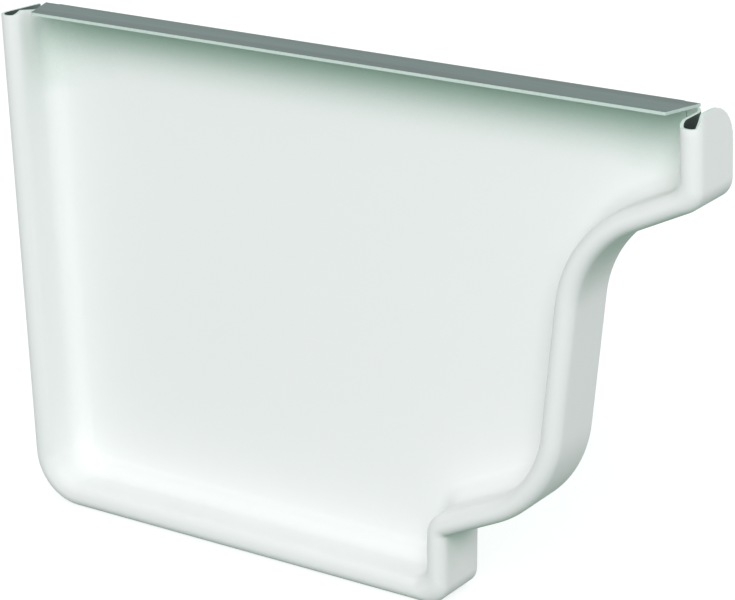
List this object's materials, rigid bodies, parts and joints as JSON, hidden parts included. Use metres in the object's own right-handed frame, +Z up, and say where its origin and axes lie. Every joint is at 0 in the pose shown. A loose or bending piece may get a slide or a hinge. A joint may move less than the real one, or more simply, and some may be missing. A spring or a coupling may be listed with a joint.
{
  "type": "gutter end cap",
  "caption": "Pressed sheet end cap for an ogee roof gutter: a recessed flat face in a round-crowned rim whose folded channel slips over the gutter's end, with a folded top lip.",
  "frame": {"origin": "middle of the footprint, on the level of the underside", "axes": "+X from the back flange at the fascia to the front lip, +Y from the outside face into the gutter, +Z up"},
  "size_m": [0.13, 0.0102, 0.0874],
  "materials": {
    "white_enamel": "glossy baked white enamel on sheet metal, with a thin matt grey wash coat on the reverse"
  },
  "bodies": {
    "root": {"end_cap": "white_enamel"}
  },
  "joints": []
}
